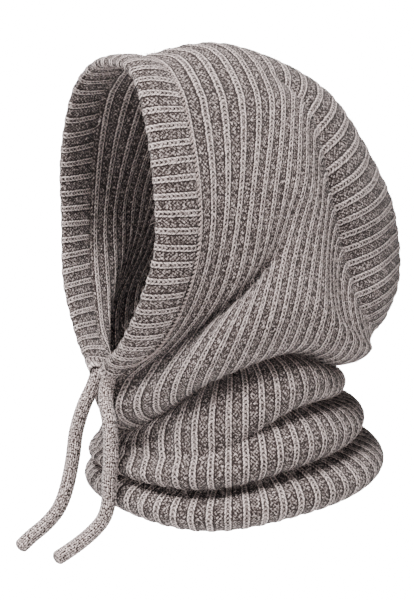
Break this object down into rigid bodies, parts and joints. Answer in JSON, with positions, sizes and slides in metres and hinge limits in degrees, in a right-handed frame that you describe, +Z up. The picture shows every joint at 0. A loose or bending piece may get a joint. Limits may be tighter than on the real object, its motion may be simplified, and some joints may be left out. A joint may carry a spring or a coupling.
{
  "type": "knitted hood snood",
  "caption": "Ribbed knitted hood with a rolled snood neck, a folded band round the face and two free drawcord ends.",
  "frame": {"origin": "inside of the crown on the middle plane, where the hood rests on the wearer's head", "axes": "+Z up, the face opening looks to -Y, +X is the wearer's left"},
  "size_m": [0.2416, 0.3552, 0.3972],
  "materials": {
    "knit_body": "chunky two by two rib, brushed marl yarn",
    "face_band": "chunky rib folded into a casing",
    "cord": "tubular knitted cord"
  },
  "bodies": {
    "root": {"knit_body": "knit_body", "face_band": "face_band", "cord_left": "cord", "cord_right": "cord"}
  },
  "joints": []
}
